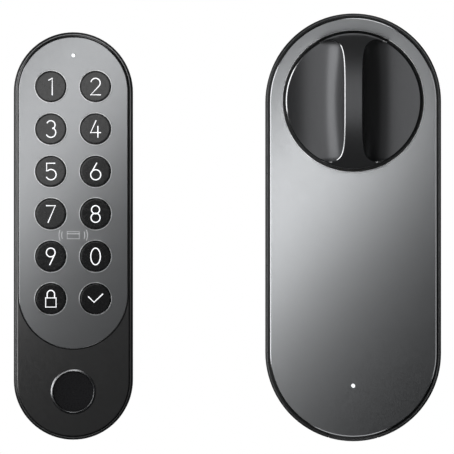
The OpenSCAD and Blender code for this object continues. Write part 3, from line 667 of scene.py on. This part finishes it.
def stroke_tree():
    """Sweeps a flattened round stroke along every line, with round ends."""
    tree, given, node, close = new_tree("raised_stroke", Width=("NodeSocketFloat", 0.7 * MM),
                                        Height=("NodeSocketFloat", 0.1 * MM))
    half = node("ShaderNodeMath", {0: given["Width"], 1: 0.5}, operation="MULTIPLY")
    flatness = node("ShaderNodeMath", {0: given["Height"], 1: given["Width"]}, operation="DIVIDE")
    ring = node("GeometryNodeCurvePrimitiveCircle", {"Resolution": 12, "Radius": half.outputs[0]})
    squash = node("ShaderNodeCombineXYZ", {"X": 1.0, "Y": flatness.outputs[0], "Z": 1.0})
    flatten = node("ShaderNodeCombineXYZ", {"X": 1.0, "Y": 1.0, "Z": flatness.outputs[0]})
    flat_ring = node("GeometryNodeTransform", {"Geometry": ring.outputs["Curve"], "Scale": squash.outputs[0]})
    lines = node("GeometryNodeMeshToCurve", {"Mesh": given["Geometry"]})
    level = node("GeometryNodeSetCurveNormal", {"Curve": lines.outputs[0]}, mode="Z_UP")
    sweep = node("GeometryNodeCurveToMesh", {"Curve": level.outputs[0], "Profile Curve": flat_ring.outputs[0],
                                             "Fill Caps": True})
    ball = node("GeometryNodeMeshUVSphere", {"Segments": 16, "Rings": 8, "Radius": half.outputs[0]})
    flat_ball = node("GeometryNodeTransform", {"Geometry": ball.outputs["Mesh"], "Scale": flatten.outputs[0]})
    corner = node("GeometryNodeInputNamedAttribute", {"Name": "corner"}, data_type="BOOLEAN")
    corners = node("GeometryNodeInstanceOnPoints", {"Points": given["Geometry"],
                                                    "Instance": flat_ball.outputs[0],
                                                    "Selection": corner.outputs["Attribute"]})
    both = node("GeometryNodeJoinGeometry")
    tree.links.new(sweep.outputs[0], both.inputs[0])
    tree.links.new(corners.outputs[0], both.inputs[0])
    return close(both.outputs[0])


def baked(name, mesh, tree, finish, **sizes):
    """Runs a shape tree on a mesh once, and returns the plain mesh it makes."""
    holder = bpy.data.objects.new(name + "_holder", mesh)
    scene.collection.objects.link(holder)
    modifier = holder.modifiers.new("shape", "NODES")
    modifier.node_group = tree
    modifier[socket(tree, "Finish")] = finish
    for size, value in sizes.items():
        modifier[socket(tree, size)] = value
    graph = bpy.context.evaluated_depsgraph_get()
    result = bpy.data.meshes.new_from_object(holder.evaluated_get(graph), depsgraph=graph)
    holder.modifiers.remove(modifier)
    bpy.data.objects.remove(holder)
    result.name = name
    result.materials.clear()
    return result


SHARP_TURN = 0.35  # radians


def line_mesh(lines, sunk=lambda r: 0):
    """Bare edges in the XY plane from lines in mm, with their ends and sharp turns marked as corners."""
    mesh = bpy.data.meshes.new("lines")
    points, edges, corners = [], [], []
    for line in lines:
        first = len(points)
        closed = math.dist(line[0], line[-1]) < 1e-6
        for k, p in enumerate(line[:-1] if closed else line):
            points.append((p[0] * MM, p[1] * MM, -sunk(math.hypot(*p) * MM)))
            before = line[k - 1 if k else (-2 if closed else 0)]
            after = line[min(k + 1, len(line) - 1)]
            turn = Vector((p[0] - before[0], p[1] - before[1])), Vector((after[0] - p[0], after[1] - p[1]))
            end = not closed and k in (0, len(line) - 1)
            bent = min(v.length for v in turn) > 0 and turn[0].angle(turn[1]) > SHARP_TURN
            corners.append(end or bent)
        count = len(points) - first
        edges += [(first + i, first + (i + 1) % count) for i in range(count if closed else count - 1)]
    mesh.from_pydata(points, edges, [])
    attribute = mesh.attributes.new("corner", "BOOLEAN", "POINT")
    attribute.data.foreach_set("value", corners)
    return mesh


def stand_up(mesh, where):
    """Turns a mesh made lying in the XY plane to face -Y, at its place."""
    mesh.transform(Matrix.Translation(where) @ Matrix.Rotation(math.pi / 2, 4, "X"))


STROKES = stroke_tree()
for key in KEYS:
    centre, front, rim, cap_r = key_cap(key)
    flat = line_mesh(SYMBOLS[key], lambda r, rim=rim: KEY_DISH * (1 - (r / rim) ** 2))
    symbol = baked("symbol_" + key, flat, STROKES, symbol_white, Width=0.40 * MM, Height=0.12 * MM)
    stand_up(symbol, (centre.x, front, centre.z))
    settle("symbol_" + key, symbol, [symbol_white], "key_" + key, 50)


# ---- Mark that shows where a card is held ---------------------------------------------------------

plate_front = front_of("keypad_face_plate")
pad_x = middle("keypad_face_plate").x
mark_z = (middle("key_8").z + middle("key_0").z) / 2
waves = [arc(0, 0, r, side - spread, side + spread, 10)
         for side in (0, 180) for r, spread in ((5.2, 21), (4.2, 17))]
card = [(-2.2, -1.3), (2.2, -1.3), (2.2, 1.3), (-2.2, 1.3), (-2.2, -1.3)]
card_mark = baked("card_mark", line_mesh(waves + [card, [(-2.2, 0.5), (2.2, 0.5)]]), STROKES, mark_grey_painted_glow,
                  Width=0.26 * MM, Height=0.05 * MM)
stand_up(card_mark, (pad_x, plate_front, mark_z))
settle("card_mark", card_mark, [mark_grey_painted_glow], "casings", 50)


# ---- Bright edges round the key holes, painted highlights on the casing rims, painted gap shadow ---

def ring_tree():
    """A domed ring round every point."""
    tree, given, node, close = new_tree("domed_ring", Radius=("NodeSocketFloat", 6 * MM),
                                        Width=("NodeSocketFloat", 0.4 * MM),
                                        Height=("NodeSocketFloat", 0.05 * MM))
    path = node("GeometryNodeCurvePrimitiveCircle", {"Resolution": 96, "Radius": given["Radius"]})
    half = node("ShaderNodeMath", {0: given["Width"], 1: 0.5}, operation="MULTIPLY")
    ring = node("GeometryNodeCurvePrimitiveCircle", {"Resolution": 12, "Radius": half.outputs[0]})
    flatness = node("ShaderNodeMath", {0: given["Height"], 1: half.outputs[0]}, operation="DIVIDE")
    squash = node("ShaderNodeCombineXYZ", {"X": 1.0, "Y": flatness.outputs[0], "Z": 1.0})
    profile = node("GeometryNodeTransform", {"Geometry": ring.outputs["Curve"], "Scale": squash.outputs[0]})
    level = node("GeometryNodeSetCurveNormal", {"Curve": path.outputs["Curve"]}, mode="Z_UP")
    sweep = node("GeometryNodeCurveToMesh", {"Curve": level.outputs[0], "Profile Curve": profile.outputs[0]})
    spread = node("GeometryNodeInstanceOnPoints", {"Points": given["Geometry"], "Instance": sweep.outputs[0]})
    return close(spread.outputs[0])


RINGS = ring_tree()
KEY_EDGE_OUT, COVER_EDGE_OUT = 0.46 * MM, 0.16 * MM  # middle of the bright edge, from the cap and the hole
COVER_HOLE_R = 25.7 * MM


def bright_rings(name, middles, front, radius, width, height, body):
    """Bright cut edges round holes of one size in a plate, from the holes' middles as (x, z)."""
    points = bpy.data.meshes.new(name + "_middles")
    points.from_pydata([(x, z, 0) for x, z in middles], [], [])
    rings = baked(name, points, RINGS, ring_metal, Radius=radius, Width=width * MM, Height=height * MM)
    stand_up(rings, (0, front, 0))
    settle(name, rings, [ring_metal], body, 60)


key_middles = [middle("key_" + key) for key in KEYS]
bright_rings("key_hole_edges", [(m.x, m.z) for m in key_middles], plate_front, cap_r + KEY_EDGE_OUT,
             0.34, 0.06, "casings")


def edge_line(name, casing, inset, width, height, finish, body):
    """A thin raised line that runs round a stadium-shaped piece; its colour paints a highlight or a shadow
    there.
    """
    low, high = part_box(casing)
    r = (high.x - low.x) / 2 / MM - inset
    reach = (high.z - low.z) / 2 / MM - (high.x - low.x) / 2 / MM
    path = arc(0, reach, r, 0, 180, 48) + arc(0, -reach, r, 180, 360, 48)
    line = baked(name, line_mesh([path + [path[0]]]), STROKES, finish, Width=width * MM, Height=height * MM)
    stand_up(line, ((low.x + high.x) / 2, low.y, (low.z + high.z) / 2))
    return settle(name, line, [finish], body, 60)


# Painted highlights: lighter lines laid along the rims where their rounding reflects the light.
edge_line("keypad_painted_highlight_edge_line", "keypad_rear_shell", 0.85, 0.34, 0.16, keypad_painted_highlight_edge, "casings")
edge_line("drive_painted_highlight_edge_line", "drive_housing", 0.66, 0.40, 0.16, drive_painted_highlight_edge, "casings")
# Painted shadow: a black line over the gap round the face plate.
edge_line("plate_gap_line", "keypad_face_plate", -0.10, 0.32, 0.02, painted_gap_shadow_black, "casings")
bright_rings("cover_hole_edge", [(0, 0)], front_of("drive_front_cover"), COVER_HOLE_R + COVER_EDGE_OUT,
             0.30, 0.05, "front_cover")


# ---- Reader ring ----------------------------------------------------------------------------------

READER_RING_W = 0.9 * MM


def reader_ring_mesh():
    """A ring with a bevel on each side of its narrow crest."""
    low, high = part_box("fingerprint_ring")
    outer = (high.x - low.x) / 2
    inner, crest = outer - READER_RING_W, outer - 0.60 * MM
    bevel = [(outer, 0.30), (outer - 0.05 * MM, 0.24), (crest + 0.06 * MM, 0.02), (crest, 0),
             (crest - 0.06 * MM, 0.03), (inner + 0.04 * MM, 0.36), (inner, 0.5)]
    profile = [(inner, high.y), (outer, high.y)]
    profile += [(radius, low.y + depth * MM) for radius, depth in bevel]
    bm = bmesh.new()
    turned(bm, profile + profile[:1], middle("fingerprint_ring"), 128)
    return from_bmesh(bm, "reader_ring")


reader_ring = settle("reader_ring", reader_ring_mesh(), [FINISHES["ring_chrome"]], "casings",
                     30)
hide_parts("fingerprint_ring")


# ---- Spring over the release button ---------------------------------------------------------------

SPRING_TURNS, SPRING_WIRE_R = 5, 0.35 * MM
COIL_STEPS, WIRE_SIDES = 24, 10


def coil(node, turns, wire_r):
    """A wire wound along Z in the space of its CAD node."""
    low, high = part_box(node)
    middle_r = (high.x - low.x) / 2 - wire_r
    start = Vector(((low.x + high.x) / 2, (low.y + high.y) / 2, low.z + wire_r))
    rise = (high.z - low.z - 2 * wire_r) / (turns * COIL_STEPS)
    bm = bmesh.new()
    rings = []
    for i in range(turns * COIL_STEPS + 1):
        angle = math.tau * i / COIL_STEPS
        outward = Vector((math.cos(angle), math.sin(angle), 0))
        spot = start + outward * middle_r + UP * (rise * i)
        rings.append([bm.verts.new(spot + (outward * math.cos(t) + UP * math.sin(t)) * wire_r)
                      for t in around(WIRE_SIDES)])
    for ring, following in zip(rings, rings[1:]):
        for k in range(WIRE_SIDES):
            bm.faces.new((ring[k - 1], ring[k], following[k], following[k - 1]))
    bm.faces.new(rings[0])
    bm.faces.new(rings[-1])
    return from_bmesh(bm, "coil")


spring_coil = settle("release_spring_coil", coil("release_spring", SPRING_TURNS, SPRING_WIRE_R),
                     [FINISHES["plated_steel"]], "casings", 60)
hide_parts("release_spring")
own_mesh(spring_coil)


# ---- Camera, light and floor ----------------------------------------------------------------------

VIEW_CENTRE = Vector((-46.05, -34, -45.87)) * MM
VIEW_WIDTH = 165.7 * MM
camera_data = bpy.data.cameras.new("camera")
camera_data.lens, camera_data.sensor_width = 1200, 36
camera_data.clip_start, camera_data.clip_end = 0.5, 20
camera = bpy.data.objects.new("camera", camera_data)
camera.location = VIEW_CENTRE + OUT * (VIEW_WIDTH * camera_data.lens / camera_data.sensor_width)
camera.rotation_euler = (math.pi / 2, 0, 0)
scene.collection.objects.link(camera)
scene.camera = camera


def lamp(name, where, aim, width, height, radiance, turn=0.0, only=None):
    """A soft rectangular light that the camera doesn't see.

    radiance is its face's brightness, turn its angle in its own plane, and only lists what it lights.
    """
    data = bpy.data.lights.new(name, "AREA")
    data.shape, data.size, data.size_y = "RECTANGLE", width, height
    data.energy = radiance * math.pi * width * height
    light = bpy.data.objects.new(name, data)
    back = (Vector(where) - Vector(aim)).normalized()
    side = UP.cross(back).normalized()
    rise = back.cross(side)
    along = side * math.cos(turn) + rise * math.sin(turn)
    aimed = Matrix((along, back.cross(along), back)).transposed()
    light.matrix_world = Matrix.Translation(where) @ aimed.to_4x4()
    light.visible_camera = False
    scene.collection.objects.link(light)
    if only:
        lit = bpy.data.collections.new(name + "_lights")
        for piece in only:
            lit.objects.link(piece)
        light.light_linking.receiver_collection = lit


def plate_lamp(name, plate, x, z, distance, width, height, turn, radiance, only):
    """A lamp square to a face plate, at its own distance in front of it."""
    y = front_of(plate) - distance
    lamp(name, (x, y, z), (x, 0, z), width, height, radiance, turn, only)


def set_lamps():
    """A strip lamp square to each face plate, lamps of its own for the knob, and strips all round."""
    pieces = [o for o in scene.objects if o.type == "MESH"]
    starts = ("key", "finger", "symbol", "card", "reader", "bracket")
    keypad = [o for o in pieces if o.name.startswith(starts)]
    drive = [o for o in pieces if o not in keypad and o is not knob_body]
    all_but_knob = [o for o in pieces if o is not knob_body]
    plates = [nodes["drive_front_cover"], nodes["keypad_face_plate"]]
    plates += [o for o in pieces if o.name.endswith(("edge_line", "hole_edges", "hole_edge"))]
    units = (-0.02, -0.03, -0.03)
    plate_lamp("drive_lamp", "drive_front_cover", -0.068, -0.083, 0.154, 0.255, 0.041, 0.88, 2.45, drive)
    plate_lamp("keypad_lamp", "keypad_face_plate", -0.129, -0.018, 0.102, 0.199, 0.051, 0.87, 1.38, keypad)
    lamp("knob_lamp", (-0.142, -0.34, 0.02), (-0.142, 0, 0.02), 0.375, 0.20, 0.80, only=[knob_body])
    lamp("knob_strip", (-0.32, -0.12, 0.07), (-0.006, -0.05, 0.0), 0.36, 0.30, 1.9, only=[knob_body])
    lamp("knob_side", (0.165, -0.34, 0.02), (0.165, 0, 0.02), 0.27, 0.20, 0.12, only=[knob_body])
    lamp("right_strip", (0.55, -0.10, -0.02), units, 0.35, 0.5, 0.5, only=plates)
    lamp("low_strip", (-0.02, -0.10, -0.62), (-0.03, -0.03, -0.03), 0.5, 0.35, 0.6, only=plates)
    lamp("back_lamp", (0.15, 0.9, 0.35), (-0.05, 0, -0.05), 0.7, 0.5, 1.2)
    lamp("keypad_fill", (-0.10, -0.6, -0.05), (-0.10, 0, -0.05), 0.5, 0.5, 0.075, only=keypad)
    lamp("left_strip", (-0.62, -0.12, 0.05), units, 0.5, 0.45, 1.6, only=all_but_knob)
    lamp("top_strip", (0.05, -0.12, 0.55), (-0.04, -0.03, -0.03), 0.5, 0.25, 1.0)


def set_world():
    """White paper behind the object, and a dim cool room round it."""
    world = bpy.data.worlds.new("studio")
    world.use_nodes = True
    scene.world = world
    tree = world.node_tree
    room = tree.nodes["Background"]
    room.inputs["Color"].default_value = (0.75, 0.78, 0.82, 1)
    room.inputs["Strength"].default_value = 0.015
    paper = tree.nodes.new("ShaderNodeBackground")
    paper.inputs["Color"].default_value = (1, 1, 1, 1)
    paper.inputs["Strength"].default_value = 1.0
    seen = tree.nodes.new("ShaderNodeLightPath")
    mix = tree.nodes.new("ShaderNodeMixShader")
    tree.links.new(seen.outputs["Is Camera Ray"], mix.inputs["Fac"])
    tree.links.new(room.outputs[0], mix.inputs[1])
    tree.links.new(paper.outputs[0], mix.inputs[2])
    tree.links.new(mix.outputs[0], tree.nodes["World Output"].inputs["Surface"])


FLOOR_Z = -0.175


def lay_floor():
    """A pale sheet under the object, lit by a lamp of its own."""
    mesh = bpy.data.meshes.new("floor")
    mesh.from_pydata([(-1, -1, FLOOR_Z), (1, -1, FLOOR_Z), (1, 0.6, FLOOR_Z), (-1, 0.6, FLOOR_Z)], [],
                     [(0, 1, 2, 3)])
    finish = Finish("floor_paper", (0.82, 0.82, 0.81), 0.9)
    finish.shade(finish.noise(30, 3.0), 0.02)
    mesh.materials.append(finish.material)
    floor = bpy.data.objects.new("floor", mesh)
    scene.collection.objects.link(floor)
    floor.visible_glossy = False
    lamp("floor_lamp", (0, -0.6, 1.6), (0, -0.2, FLOOR_Z), 1.6, 1.6, 3.3, only=[floor])


set_lamps()
set_world()
scene.view_settings.view_transform = "Standard"
lay_floor()
